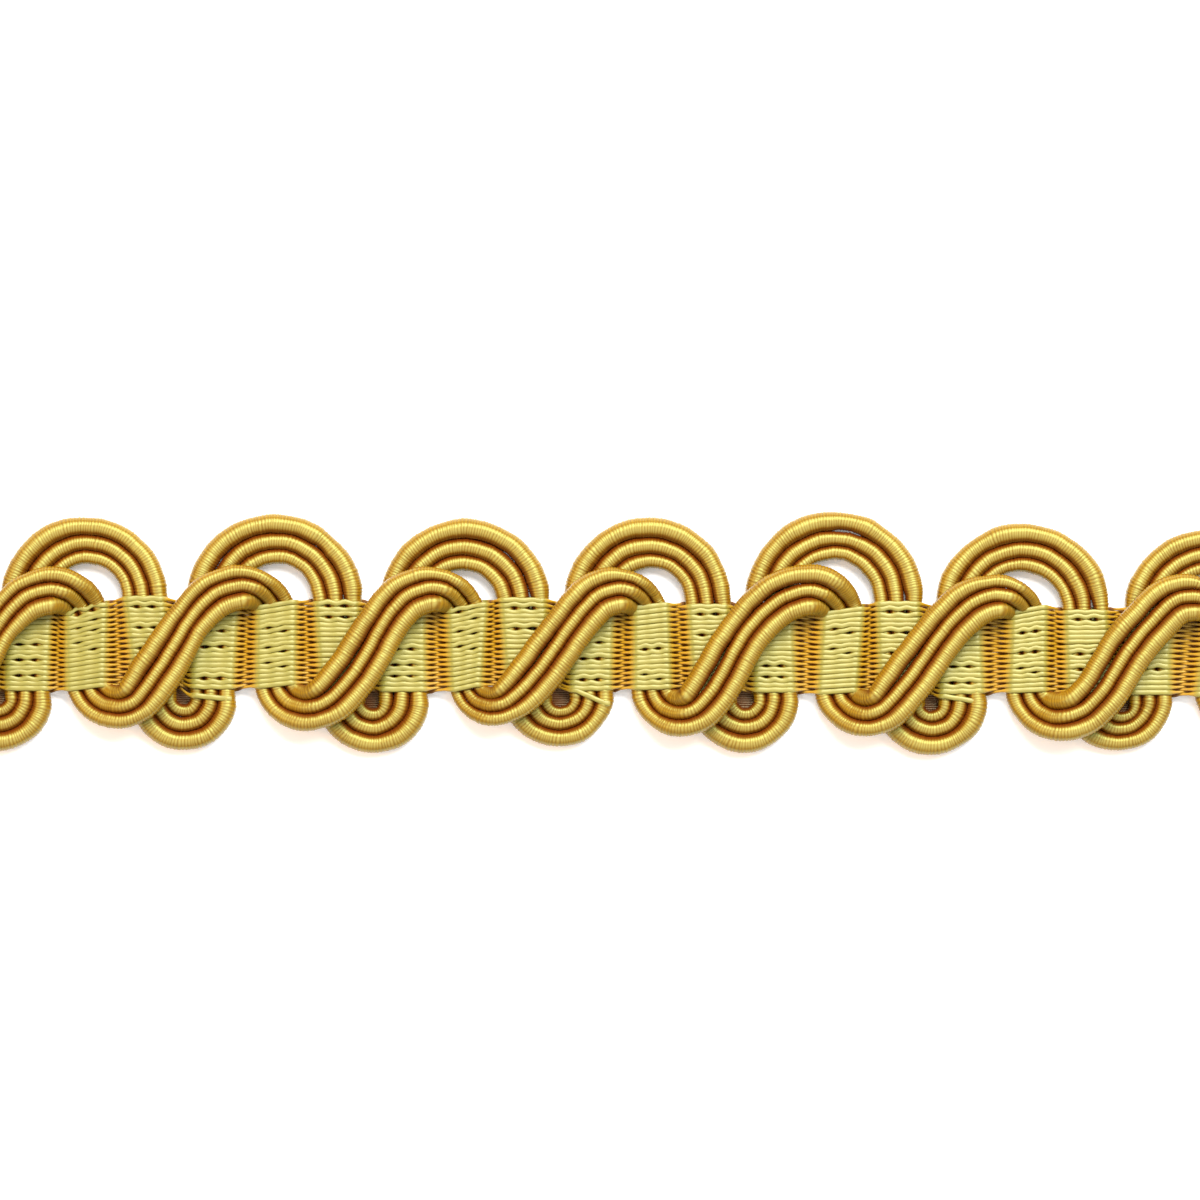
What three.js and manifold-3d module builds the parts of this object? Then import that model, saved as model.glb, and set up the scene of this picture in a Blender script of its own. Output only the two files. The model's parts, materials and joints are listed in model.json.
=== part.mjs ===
// Scroll gimp braid trim, a cut length lying flat and face up.
// Millimetres. +X runs along the trim, +Y across it, +Z up out of its face.
// The origin is at the middle of the flat back of the woven band.
// Six satin cords scroll through one band of fine warp threads: three back cords, which stay level,
// and three front cords, which rise out of the band and cross it on a slant.

import * as THREE from 'three';
import { mergeVertices } from 'three/addons/utils/BufferGeometryUtils.js';
import Module from 'manifold-3d';

const wasm = await Module();
wasm.setup();

// Driving dimensions
const pitch = 20.3;
const cutAt = 71.3;
const cordRadius = 0.65;
const clearance = 0.3;
const cordSides = 6;
const cutterSides = 8;

// Heights of the cords' centre lines and of the band's two faces
const wovenHeight = 1.22;
const overHeight = 3.42;
const archSag = 0.2;
const crestHeight = 2.44;
const dipHeight = 1.6;

// The band's face over one group of cords: how far its crest and its foot reach past the outer cords
const shoulderReach = 0.6;
const footReach = 1.4;
const leastDip = 0.1;

// The room inside the band for one group of cords, from the outer cords' centre lines
const roomReach = 1.05;
const roomCornerReach = 0.5;
const roomHalfHeight = 0.95;

// Curved stretches are stepped by length, within these angles
const stepLength = 1.5;
const finestStep = THREE.MathUtils.degToRad(16);
const coarsestStep = THREE.MathUtils.degToRad(34);
const wovenSteps = 2;
const slantSteps = 4;

// The band is drawn out to here on both sides, and then its edges are set to the table below
const drawnReach = 5;

// The block that is left between the two cuts, and how near two corners are to be one
const blockWidth = 60;
const blockDepth = 20;
const cornerWithin = 1e-4;

const colours = { cord: 0xd9b048, warp: 0xe8db90 };

// Each scroll is wound round a row of top turns and a row of low turns, one of each to a repeat.
// A row gives the arc of the group's outer cord, then that of its inner cord: slip is how far the
// centre lies from its regular place along the trim, y its place across, r the radius.
function turnTable(firstRepeat, start, rows) {
  return rows.map(([slip, y, r, innerSlip, innerY, innerR], row) => {
    const regular = start + pitch * (firstRepeat + row);
    return {
      repeat: firstRepeat + row,
      outer: { x: regular + slip, y, r },
      inner: { x: regular + innerSlip, y: innerY, r: innerR },
    };
  });
}

const backTopTurns = turnTable(-1, -53.9, [
  // slip, y, r, innerSlip, innerY, innerR
  [0.0, 4.5, 8.1, 0.2, 4.8, 4.5],
  [0.0, 4.7, 8.0, 0.2, 5.0, 4.4],
  [0.1, 4.5, 8.5, 0.3, 4.9, 4.6],
  [0.4, 4.2, 8.2, 0.1, 4.2, 4.6],
  [-0.1, 4.6, 8.0, 0.1, 4.5, 4.5],
  [-0.3, 4.7, 8.6, -0.4, 4.7, 5.1],
  [-0.3, 3.5, 8.5, -0.4, 3.5, 5.1],
  [-0.3, 3.1, 8.3, -0.2, 3.3, 4.9],
]);

const backLowTurns = turnTable(-1, -43.3, [
  // slip, y, r, innerSlip, innerY, innerR
  [0.3, -5.8, 4.7, 0.2, -5.8, 1.5],
  [0.0, -5.8, 4.7, -0.1, -5.8, 1.5],
  [0.2, -5.7, 5.1, 0.1, -6.2, 1.5],
  [-0.1, -5.1, 5.1, 0.1, -5.5, 1.6],
  [-0.4, -5.8, 5.0, -0.3, -5.9, 1.7],
  [-0.4, -5.9, 5.1, -0.4, -6.4, 1.5],
  [-0.5, -5.7, 5.0, -0.2, -6.0, 1.6],
  [-0.4, -5.8, 5.0, -0.4, -6.1, 1.5],
]);

const frontTopTurns = turnTable(-1, -57.5, [
  // slip, y, r, innerSlip, innerY, innerR
  [0.0, 2.4, 5.2, 0.0, 2.4, 1.8],
  [0.0, 2.2, 5.4, 0.0, 2.2, 1.9],
  [0.0, 2.3, 5.5, 0.4, 2.7, 1.7],
  [0.2, 2.1, 5.5, 0.5, 2.4, 1.8],
  [0.0, 2.3, 5.2, 0.3, 2.5, 1.7],
  [0.4, 2.3, 5.3, 0.7, 1.9, 1.8],
  [0.4, 1.8, 5.0, 0.5, 1.9, 1.7],
  [0.5, 1.6, 5.1, 0.6, 1.6, 1.8],
  [0.4, 1.6, 5.1, 0.8, 1.6, 1.8],
]);

const frontLowTurns = turnTable(-1, -50.4, [
  // slip, y, r, innerSlip, innerY, innerR
  [-0.2, -3.5, 4.8, -0.2, -3.6, 1.6],
  [0.0, -3.2, 5.1, -0.1, -3.5, 1.7],
  [0.0, -3.6, 4.9, -0.1, -3.7, 1.6],
  [0.0, -4.0, 4.4, 0.1, -3.9, 1.3],
  [-0.4, -4.7, 4.4, -0.3, -4.5, 1.4],
  [-0.6, -4.6, 4.4, -0.4, -4.4, 1.5],
  [0.1, -4.6, 4.9, -0.1, -4.4, 1.7],
  [0.0, -4.7, 4.7, 0.0, -4.5, 1.7],
]);

// How far the front cords bow sideways on their slant from a low turn to the next top turn, at three
// shares of its height: for the outer cord of the top turn, then for the inner one.
const bowShares = [0.2, 0.5, 0.8];
const slantBows = [
  { outer: [-0.4, -0.6, -0.6], inner: [0.2, -0.3, -1.2] },
  { outer: [-0.3, -0.6, -0.6], inner: [0.0, -0.5, -1.4] },
  { outer: [0.4, -0.1, -0.4], inner: [1.0, 0.5, -0.8] },
  { outer: [0.2, -0.1, -0.2], inner: [1.1, 0.6, -0.4] },
  { outer: [-0.4, -1.2, -1.3], inner: [0.8, -0.5, -1.4] },
  { outer: [-0.4, -0.9, -1.1], inner: [0.7, 0.0, -0.8] },
  { outer: [0.4, -0.4, -0.3], inner: [1.3, 0.8, 0.6] },
  { outer: [0.0, 0.0, 0.0], inner: [0.5, 0.3, 0.0] },
];

// The band's two edges over each group of cords, a row for each repeat, and over the group before the first
const edgesAtStart = { top: 5.0, low: -4.9 };
const bandEdges = [
  { topRise: 4.4, topFront: 4.3, topBack: 5.1, lowRise: -5.0, lowFront: -4.6, lowBack: -4.8 },
  { topRise: 4.4, topFront: 4.6, topBack: 4.8, lowRise: -4.9, lowFront: -4.6, lowBack: -4.8 },
  { topRise: 4.3, topFront: 4.4, topBack: 5.0, lowRise: -5.1, lowFront: -4.6, lowBack: -4.8 },
  { topRise: 4.3, topFront: 4.4, topBack: 4.6, lowRise: -5.0, lowFront: -4.9, lowBack: -5.0 },
  { topRise: 4.2, topFront: 4.2, topBack: 4.6, lowRise: -5.2, lowFront: -5.1, lowBack: -5.2 },
  { topRise: 4.0, topFront: 4.1, topBack: 4.2, lowRise: -5.4, lowFront: -5.2, lowBack: -5.3 },
  { topRise: 3.9, topFront: 4.0, topBack: 4.0, lowRise: -5.5, lowFront: -5.3, lowBack: -5.4 },
];

// The three cords of each scroll, named by their place in the top turns. The outer cord at the top
// is the inner one below. The shares say where each lies between the outer cord and the inner one.
// A front cord goes down into the band over the fall stretch of its top turn, and comes up again over
// the rise stretch of its low turn.
const cords = [
  { name: 'outer', topShare: 0, lowShare: 1, fall: [0.54, 0.86], rise: [0.3, 1] },
  { name: 'middle', topShare: 0.5, lowShare: 0.5, fall: [0.46, 0.82], rise: [0.18, 0.85] },
  { name: 'inner', topShare: 1, lowShare: 0, fall: [0.42, 0.92], rise: [0.12, 0.78] },
];

const backScroll = { name: 'back', tops: backTopTurns, lows: backLowTurns, crosses: false };
const frontScroll = { name: 'front', tops: frontTopTurns, lows: frontLowTurns, crosses: true };

// One cord's arc in a turn. side is 1 where the cord passes over the turn and -1 where it passes under.
function cordTurn(turn, share, side) {
  const { outer, inner } = turn;
  return {
    x: THREE.MathUtils.lerp(outer.x, inner.x, share),
    y: THREE.MathUtils.lerp(outer.y, inner.y, share),
    r: THREE.MathUtils.lerp(outer.r, inner.r, share),
    side,
    repeat: turn.repeat,
  };
}

// All turns of a cord, in the order in which it meets them.
function cordTurns(scroll, cord) {
  const tops = scroll.tops.map((turn) => cordTurn(turn, cord.topShare, 1));
  const lows = scroll.lows.map((turn) => cordTurn(turn, cord.lowShare, -1));
  return [...tops, ...lows].sort((a, b) => a.repeat - b.repeat || b.side - a.side);
}

// The straight leg that touches two turns, on opposite sides of it.
function legBetween(from, to) {
  const dx = to.x - from.x;
  const dy = to.y - from.y;
  const lean = Math.asin((from.side * from.r - to.side * to.r) / Math.hypot(dx, dy));
  const heading = Math.atan2(dy, dx) - lean;
  const touch = (turn) => ({
    x: turn.x - turn.side * turn.r * Math.sin(heading),
    y: turn.y + turn.side * turn.r * Math.cos(heading),
  });
  return { heading, start: touch(from), end: touch(to) };
}

// Height of a cord's centre line, share of the way along a turn.
function turnHeight(scroll, cord, side, share) {
  if (!scroll.crosses) {
    return wovenHeight - archSag * Math.sin(Math.PI * share);
  }
  const [from, to] = side > 0 ? cord.fall : cord.rise;
  const change = THREE.MathUtils.smoothstep(share, from, to);
  return side > 0
    ? THREE.MathUtils.lerp(overHeight, wovenHeight, change)
    : THREE.MathUtils.lerp(wovenHeight, overHeight, change);
}

// Sideways bow of a cord at y, between two of its turns. Only a front cord bows, on its slant from a low
// turn to a top turn: by a curve through the three values of its row, which ends at 0 in both turns.
function sidewaysBow(scroll, cord, low, top, y) {
  if (!scroll.crosses || !low || !top || low.side > 0 || !slantBows[top.repeat]) {
    return 0;
  }
  const foot = low.y - low.r;
  const share = (y - foot) / (top.y + top.r - foot);
  const { outer, inner } = slantBows[top.repeat];
  let bow = 0;
  bowShares.forEach((place, index) => {
    const value = THREE.MathUtils.lerp(outer[index], inner[index], cord.topShare);
    const others = bowShares.filter((other) => other !== place);
    const weight = others.reduce((product, other) => (product * (share - other)) / (place - other), 1);
    bow += (weight * value * share * (1 - share)) / (place * (1 - place));
  });
  return bow;
}

// The points of a cord's centre line, turn by turn, with the legs between them. The first turn and the
// last, which the cuts pass through or leave out, are only half turns.
function cordPoints(scroll, cord) {
  const turns = cordTurns(scroll, cord);
  const legs = turns.slice(1).map((turn, index) => legBetween(turns[index], turn));
  const headings = [0, ...legs.map((leg) => leg.heading), 0];
  const points = [];
  const addPoint = (stretch, x, y, z) => {
    const bow = sidewaysBow(scroll, cord, turns[stretch], turns[stretch + 1], y);
    points.push(new THREE.Vector3(x + bow, y, z));
  };
  turns.forEach((turn, index) => {
    const quarter = (turn.side * Math.PI) / 2;
    const start = headings[index] + quarter;
    const sweep = headings[index + 1] - headings[index];
    const stepAngle = THREE.MathUtils.clamp(stepLength / turn.r, finestStep, coarsestStep);
    const steps = Math.ceil(Math.abs(sweep) / stepAngle);
    for (let step = 0; step <= steps; step += 1) {
      const share = step / steps;
      const angle = start + sweep * share;
      const x = turn.x + turn.r * Math.cos(angle);
      const y = turn.y + turn.r * Math.sin(angle);
      const stretch = Math.cos(angle) < 0 ? index - 1 : index;
      addPoint(stretch, x, y, turnHeight(scroll, cord, turn.side, share));
    }
    if (index === legs.length) {
      return;
    }
    const leg = legs[index];
    const slants = scroll.crosses && turn.side < 0;
    const legSteps = slants ? slantSteps : wovenSteps;
    for (let step = 1; step < legSteps; step += 1) {
      const share = step / legSteps;
      const x = THREE.MathUtils.lerp(leg.start.x, leg.end.x, share);
      const y = THREE.MathUtils.lerp(leg.start.y, leg.end.y, share);
      addPoint(index, x, y, slants ? overHeight : wovenHeight);
    }
  });
  return points;
}

// A path through given points, stepped exactly at them.
class PointPath extends THREE.Curve {
  constructor(points) {
    super();
    this.points = points;
  }

  getPoint(t, target = new THREE.Vector3()) {
    const place = THREE.MathUtils.clamp(t, 0, 1) * (this.points.length - 1);
    const index = Math.min(Math.floor(place), this.points.length - 2);
    return target.lerpVectors(this.points[index], this.points[index + 1], place - index);
  }

  getUtoTmapping(u) {
    return u;
  }
}

function roundSection(radius, sides) {
  const corners = [];
  for (let side = 0; side < sides; side += 1) {
    const angle = (2 * Math.PI * side) / sides;
    corners.push(new THREE.Vector2(radius * Math.cos(angle), radius * Math.sin(angle)));
  }
  return new THREE.Shape(corners);
}

function tube(points, radius, sides) {
  return new THREE.ExtrudeGeometry(roundSection(radius, sides), {
    extrudePath: new PointPath(points),
    steps: points.length - 1,
    bevelEnabled: false,
  });
}

function toSolid(geometry) {
  const bare = geometry.clone();
  bare.deleteAttribute('normal');
  bare.deleteAttribute('uv');
  const merged = mergeVertices(bare, cornerWithin);
  return new wasm.Manifold(new wasm.Mesh({
    numProp: 3,
    vertProperties: new Float32Array(merged.attributes.position.array),
    triVerts: new Uint32Array(merged.index.array),
  }));
}

function toGeometry(solid) {
  const { vertProperties, triVerts } = solid.getMesh();
  const geometry = new THREE.BufferGeometry();
  geometry.setAttribute('position', new THREE.BufferAttribute(vertProperties, 3));
  geometry.setIndex(new THREE.BufferAttribute(triVerts, 1));
  return geometry;
}

// The cutting can part a crumb from the band's edge, which is dropped.
function largestBody(solid) {
  return solid.decompose().reduce((kept, body) => (body.volume() > kept.volume() ? body : kept));
}

// The length that the two scissor cuts leave.
const cutLength = toSolid(new THREE.BoxGeometry(2 * cutAt, blockWidth, blockDepth));

function cordSolid(scroll, cord) {
  return toSolid(tube(cordPoints(scroll, cord), cordRadius, cordSides)).intersect(cutLength);
}

// The places where the cords of one leg cross a line across the trim at y, from first to last.
function legSpan(scroll, repeat, side, y) {
  const places = cords.map((cord) => {
    const turns = cordTurns(scroll, cord);
    const index = turns.findIndex((turn) => turn.repeat === repeat && turn.side === side);
    const { start, end } = legBetween(turns[index], turns[index + 1]);
    return THREE.MathUtils.mapLinear(y, start.y, end.y, start.x, end.x);
  });
  return [Math.min(...places), Math.max(...places)];
}

// Groups of cords that the band holds, along the trim: the back cords rising to a top turn, the front
// cords going down from theirs, and the back cords going down. The last group may lie past the cut.
function wovenGroups() {
  const groups = [{ scroll: backScroll, repeat: -1, side: 1, ...edgesAtStart }];
  bandEdges.forEach((edges, repeat) => {
    groups.push(
      { scroll: backScroll, repeat: repeat - 1, side: -1, top: edges.topRise, low: edges.lowRise },
      { scroll: frontScroll, repeat, side: 1, top: edges.topFront, low: edges.lowFront },
      { scroll: backScroll, repeat, side: 1, top: edges.topBack, low: edges.lowBack },
    );
  });
  return groups.filter(({ scroll, repeat, side }) => legSpan(scroll, repeat, side, 0)[0] < cutAt);
}

// The band's face along a line across the trim at y: the crest over each group and the dips between.
function bandStations(groups, y) {
  const stations = [];
  groups.forEach(({ scroll, repeat, side }) => {
    const [first, last] = legSpan(scroll, repeat, side, y);
    stations.push(first - footReach, first - shoulderReach, last + shoulderReach, last + footReach);
  });
  for (let dip = 3; dip < stations.length - 1; dip += 4) {
    const middle = (stations[dip] + stations[dip + 1]) / 2;
    stations[dip] = Math.min(stations[dip], middle - leastDip / 2);
    stations[dip + 1] = Math.max(stations[dip + 1], middle + leastDip / 2);
  }
  const reach = cutAt - leastDip;
  return [-cutAt, ...stations.map((x) => THREE.MathUtils.clamp(x, -reach, reach)), cutAt];
}

// Straight-line reading of a table: from and to hold matching values.
function readTable(value, from, to) {
  const next = from.findIndex((entry, index) => index > 0 && entry > value + cornerWithin);
  if (next < 0) {
    return to[to.length - 1];
  }
  return THREE.MathUtils.mapLinear(value, from[next - 1], from[next], to[next - 1], to[next]);
}

function edgeStations(groups, edge) {
  const heights = groups.flatMap((group) => [group[edge], group[edge], group[edge], group[edge]]);
  return [heights[0], ...heights, heights[heights.length - 1]];
}

// The room for one group, as it crosses a line across the trim at y.
function roomOutline({ scroll, repeat, side }, y) {
  const [first, last] = legSpan(scroll, repeat, side, y);
  const floor = wovenHeight - roomHalfHeight;
  const ceiling = wovenHeight + roomHalfHeight;
  return new THREE.Path([
    new THREE.Vector2(first - roomReach, wovenHeight),
    new THREE.Vector2(first - roomCornerReach, floor),
    new THREE.Vector2(last + roomCornerReach, floor),
    new THREE.Vector2(last + roomReach, wovenHeight),
    new THREE.Vector2(last + roomCornerReach, ceiling),
    new THREE.Vector2(first - roomCornerReach, ceiling),
  ]);
}

// A humped slab with a flat back, drawn at its top edge and slanted to the cords' legs at its low edge,
// then cut clear of every cord.
function bandSolid() {
  const groups = wovenGroups();
  const topStations = bandStations(groups, drawnReach);
  const lowStations = bandStations(groups, -drawnReach);
  const topEdge = edgeStations(groups, 'top');
  const lowEdge = edgeStations(groups, 'low');
  const outline = new THREE.Shape();
  outline.moveTo(-cutAt, 0);
  topStations.forEach((x, index) => {
    const onCrest = index % 4 === 2 || index % 4 === 3;
    const inside = index > 0 && index < topStations.length - 1;
    outline.lineTo(x, inside && onCrest ? crestHeight : dipHeight);
  });
  outline.lineTo(cutAt, 0);
  outline.holes = groups.map((group) => roomOutline(group, drawnReach));
  const slab = new THREE.ExtrudeGeometry(outline, { depth: 2 * drawnReach, steps: 1, bevelEnabled: false });
  slab.rotateX(Math.PI / 2).translate(0, drawnReach, 0);
  const place = slab.attributes.position;
  for (let index = 0; index < place.count; index += 1) {
    const x = place.getX(index);
    if (place.getY(index) > 0) {
      place.setY(index, readTable(x, topStations, topEdge));
    } else {
      place.setX(index, readTable(x, topStations, lowStations));
      place.setY(index, readTable(x, topStations, lowEdge));
    }
  }
  let solid = toSolid(slab);
  [backScroll, frontScroll].forEach((scroll) => {
    cords.forEach((cord) => {
      const room = tube(cordPoints(scroll, cord), cordRadius + clearance, cutterSides);
      solid = solid.subtract(toSolid(room));
    });
  });
  return largestBody(solid);
}

function piece(name, solid, colour) {
  const material = new THREE.MeshStandardMaterial({ color: colour, roughness: 0.5, metalness: 0 });
  const mesh = new THREE.Mesh(toGeometry(solid), material);
  mesh.name = name;
  return mesh;
}

const trim = new THREE.Group();
trim.add(piece('woven_band', bandSolid(), colours.warp));
[backScroll, frontScroll].forEach((scroll) => {
  cords.forEach((cord) => {
    trim.add(piece(`${scroll.name}_cord_${cord.name}`, cordSolid(scroll, cord), colours.cord));
  });
});

export default trim;
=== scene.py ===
# Scroll gimp braid trim: six wound cords, the warp threads that hold them, and the stage it lies on.

import json
import math
from collections import namedtuple

import bmesh
import bpy
import numpy as np
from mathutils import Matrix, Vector

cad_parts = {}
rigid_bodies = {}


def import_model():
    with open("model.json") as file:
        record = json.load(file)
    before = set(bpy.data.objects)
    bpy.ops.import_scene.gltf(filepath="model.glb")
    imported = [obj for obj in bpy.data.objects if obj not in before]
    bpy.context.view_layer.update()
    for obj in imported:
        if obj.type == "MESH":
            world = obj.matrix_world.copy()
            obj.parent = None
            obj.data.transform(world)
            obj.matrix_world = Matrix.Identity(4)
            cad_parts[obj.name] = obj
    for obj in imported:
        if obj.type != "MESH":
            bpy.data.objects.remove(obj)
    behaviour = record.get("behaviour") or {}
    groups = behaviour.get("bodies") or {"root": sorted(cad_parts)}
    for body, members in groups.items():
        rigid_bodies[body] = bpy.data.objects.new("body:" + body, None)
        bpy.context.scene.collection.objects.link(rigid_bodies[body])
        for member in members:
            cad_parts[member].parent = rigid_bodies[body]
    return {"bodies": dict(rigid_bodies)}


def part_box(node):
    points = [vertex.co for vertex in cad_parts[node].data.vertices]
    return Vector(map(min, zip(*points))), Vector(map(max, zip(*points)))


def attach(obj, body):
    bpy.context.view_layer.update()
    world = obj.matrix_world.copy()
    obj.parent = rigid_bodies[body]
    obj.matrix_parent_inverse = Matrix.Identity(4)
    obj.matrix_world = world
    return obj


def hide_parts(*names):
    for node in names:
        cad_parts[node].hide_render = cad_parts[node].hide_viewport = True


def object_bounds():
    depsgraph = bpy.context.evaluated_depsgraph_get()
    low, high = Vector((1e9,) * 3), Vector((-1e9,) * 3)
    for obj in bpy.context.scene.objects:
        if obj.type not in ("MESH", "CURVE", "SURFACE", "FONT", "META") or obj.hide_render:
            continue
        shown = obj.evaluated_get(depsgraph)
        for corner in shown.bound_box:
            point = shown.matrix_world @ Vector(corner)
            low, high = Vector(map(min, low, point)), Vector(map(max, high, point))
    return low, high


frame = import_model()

bl_info = {
    "name": "Scroll gimp braid trim",
    "version": (1, 0, 0),
    "blender": (4, 5, 0),
    "location": "View3D > Sidebar > Trim",
    "description": "Makes a cut length of scroll gimp braid from its wound cords and warp threads",
    "category": "Object",
}

# The frame: the box of the solids, and the place of the two cuts along the trim
CAD_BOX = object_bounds()
BODY = next(iter(frame["bodies"]))
BAND_LOW, BAND_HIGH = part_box("woven_band")
CUT_AT = BAND_HIGH.x
MM = 0.001

# A table of turns: the number of its first repeat, the regular place of repeat 0 along the trim, its rows
Turns = namedtuple("Turns", "first start rows")

# A turn of one cord: its centre and radius, its side, which is 1 at the top and -1 below, and its repeat
Turn = namedtuple("Turn", "x y r side repeat")

# A group of three cords where the band holds them: their scroll, the repeat and side of the turn before,
# the band's edges as top left, top right, low left and low right, and the gaps between its threads
Group = namedtuple("Group", "scroll repeat side edges gaps")

# Where a warp thread passes a group: the places of its first and last cord along the trim, its side, which
# is 1 over them and -1 under them, its own places across the trim at both and how far gaps push them, its
# width, and how far it hangs loose, if it does
Peg = namedtuple("Peg", "first last side left right pushes width loose")

# Sizes that all warp threads share, in millimetres: the height of the cords' middles, how far over or
# under it the threads' own middles lie, how many there are in a set, and the sizes of their settings
ThreadSizes = namedtuple("ThreadSizes", "woven reach count crest_width waist_width thickness")

# A cord of a scroll: where it lies between the outer and the inner cord of each kind of turn, as a share,
# and the stretches of its front turns, also as shares, over which it goes down into the band and comes up
Cord = namedtuple("Cord", "name back_top back_low front_top front_low fall rise")

# One repeat of the scroll along the trim, in millimetres
REPEAT = 20.3

# Each scroll of three cords is wound over a row of top turns and under a row of low turns. A row gives
# the arc of the group's outer cord, then that of its inner cord, in millimetres: slip is how far the
# centre lies from its regular place along the trim, y its place across, r the radius.
BACK_TOPS = Turns(-1, -53.9, (
    # slip, y, r, inner slip, inner y, inner r
    (-0.1, 4.5, 8.1, 0.2, 4.8, 4.5),
    (-0.1, 4.75, 8.0, 0.2, 5.0, 4.4),
    (0.1, 4.5, 8.5, 0.3, 4.9, 4.6),
    (0.35, 4.25, 8.2, 0.1, 4.2, 4.6),
    (-0.1, 4.6, 8.0, 0.1, 4.5, 4.5),
    (-0.3, 4.7, 8.6, -0.35, 4.7, 5.1),
    (-0.25, 3.5, 8.5, -0.35, 3.5, 5.1),
    (-0.35, 3.1, 8.3, -0.25, 3.35, 4.9),
))
BACK_LOWS = Turns(-1, -43.3, (
    (0.3, -5.8, 4.7, 0.2, -5.8, 1.45),
    (0.0, -5.8, 4.7, -0.05, -5.8, 1.45),
    (0.15, -5.7, 5.1, 0.05, -6.2, 1.45),
    (-0.1, -5.1, 5.1, 0.1, -5.7, 1.65),
    (-0.35, -5.8, 4.95, -0.25, -5.95, 1.65),
    (-0.4, -5.9, 5.1, -0.4, -6.4, 1.45),
    (-0.5, -5.7, 5.0, -0.15, -6.4, 1.55),
    (-0.35, -5.8, 5.0, -0.35, -6.05, 1.5),
))
FRONT_TOPS = Turns(-1, -57.5, (
    (0.0, 2.4, 5.2, 0.0, 2.4, 1.85),
    (0.0, 2.15, 5.35, 0.05, 2.2, 1.9),
    (0.0, 2.3, 5.5, 0.6, 3.0, 1.65),
    (0.2, 2.1, 5.5, 0.85, 2.6, 1.8),
    (0.0, 2.3, 5.2, 0.65, 2.5, 1.75),
    (0.45, 2.25, 5.35, 0.65, 1.95, 1.8),
    (0.45, 1.85, 4.95, 0.85, 1.95, 1.75),
    (0.6, 1.6, 5.1, 1.6, 1.6, 1.85),
    (0.5, 1.6, 5.1, 0.7, 1.6, 1.85),
))
FRONT_LOWS = Turns(-1, -50.4, (
    (-0.2, -3.45, 4.75, -0.2, -3.55, 1.75),
    (0.0, -3.2, 5.1, -0.15, -3.5, 1.75),
    (0.0, -3.55, 4.9, -0.1, -3.65, 1.6),
    (-0.3, -4.15, 3.9, -0.4, -3.85, 1.45),
    (-0.35, -4.7, 4.35, -0.35, -4.5, 1.35),
    (-0.6, -4.65, 4.45, -0.4, -4.45, 1.45),
    (0.15, -4.65, 4.9, -0.05, -4.45, 1.75),
    (0.05, -4.75, 4.75, 0.05, -4.55, 1.75),
))

# How far the front cords bow sideways on their slant from a low turn to the next top turn, at three shares
# of its height: for the outer cord of the top turn, then for the inner one. The first row is repeat 0.
BOW_SHARES = (0.2, 0.5, 0.8)
SLANT_BOWS = (
    ((-0.4, -0.6, -0.6), (0.2, -0.3, -1.2)),
    ((-0.3, -0.65, -0.6), (0.0, -0.55, -1.5)),
    ((0.4, -0.1, -0.4), (1.0, 0.5, -0.8)),
    ((0.2, -0.1, -0.2), (1.1, 0.6, -0.45)),
    ((-0.45, -1.25, -1.3), (0.8, -0.55, -1.4)),
    ((-0.45, -0.95, -1.1), (0.7, 0.05, -0.8)),
    ((0.45, -0.4, -0.3), (1.1, 0.35, -0.2)),
    ((0.0, 0.0, 0.0), (0.5, 0.3, 0.0)),
)

# The cords of a scroll, named by their place in the top turns: the outer one there is the inner one below
CORDS = (
    # name, back top, back low, front top, front low, fall, rise
    Cord("outer", 0.0, 1.0, 0.0, 1.0, (0.54, 0.86), (0.3, 1.0)),
    Cord("middle", 0.54, 0.55, 0.47, 0.5, (0.46, 0.82), (0.18, 0.85)),
    Cord("inner", 1.0, 0.0, 1.0, 0.0, (0.3, 0.68), (0.12, 0.78)),
)

# The two edges of the band in millimetres, a row for each repeat: over the back cords that rise, over the
# front cords on their left and their right, and over the back cords that go down.
BAND_EDGES = (
    # rise top, rise low, front top left, front top right, front low left, front low right, fall top, fall low
    (4.3, -5.0, 3.8, 4.7, -4.85, -4.4, 5.1, -4.4),
    (4.5, -5.1, 4.2, 4.75, -4.8, -4.45, 4.85, -4.5),
    (4.5, -5.1, 4.05, 4.75, -4.85, -4.35, 4.95, -4.4),
    (4.4, -5.25, 4.15, 4.5, -4.95, -4.8, 4.55, -4.8),
    (4.3, -5.2, 3.85, 4.3, -5.15, -4.95, 4.55, -4.9),
    (4.1, -5.6, 3.7, 4.2, -5.3, -5.15, 3.95, -5.1),
    (4.0, -5.5, 3.7, 4.1, -5.4, -5.25, 4.0, -5.2),
)
EDGES_AT_START = (5.0, -4.6)

# Places across the trim, in millimetres, where two warp threads stand apart and the cords show between
# them, a row for each repeat: over the rising back cords, the front cords and the falling back cords.
THREAD_GAPS = (
    ((-0.2, -1.9, -3.5), (4.0, 3.1, 1.5, -0.2), (3.8, 1.8, -0.4)),
    ((1.6, -0.1, -3.8), (1.6, -0.5, -2.3), (4.0, 3.1)),
    ((-0.4, -2.2, -3.5), (3.1, 1.4, -0.4), (3.7, 1.7)),
    ((-0.1, -1.3, -3.8), (-0.6, -3.5), (3.1, 1.2)),
    ((-2.3, -3.7), (1.3, -0.6), (3.2, 1.3, -0.9)),
    ((-2.3, -4.3), (1.2, -1.0, -2.8), (2.7, -0.9, -2.5)),
    ((-2.6,), (1.0, -1.0), (2.5, -0.9)),
)

# The lowest thread hangs loose below three of the rising groups: how far at its left and right end
LOOSE_THREADS = {1: (-0.45, -0.8), 3: (0.3, -1.1), 5: (0.0, -0.6)}


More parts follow.
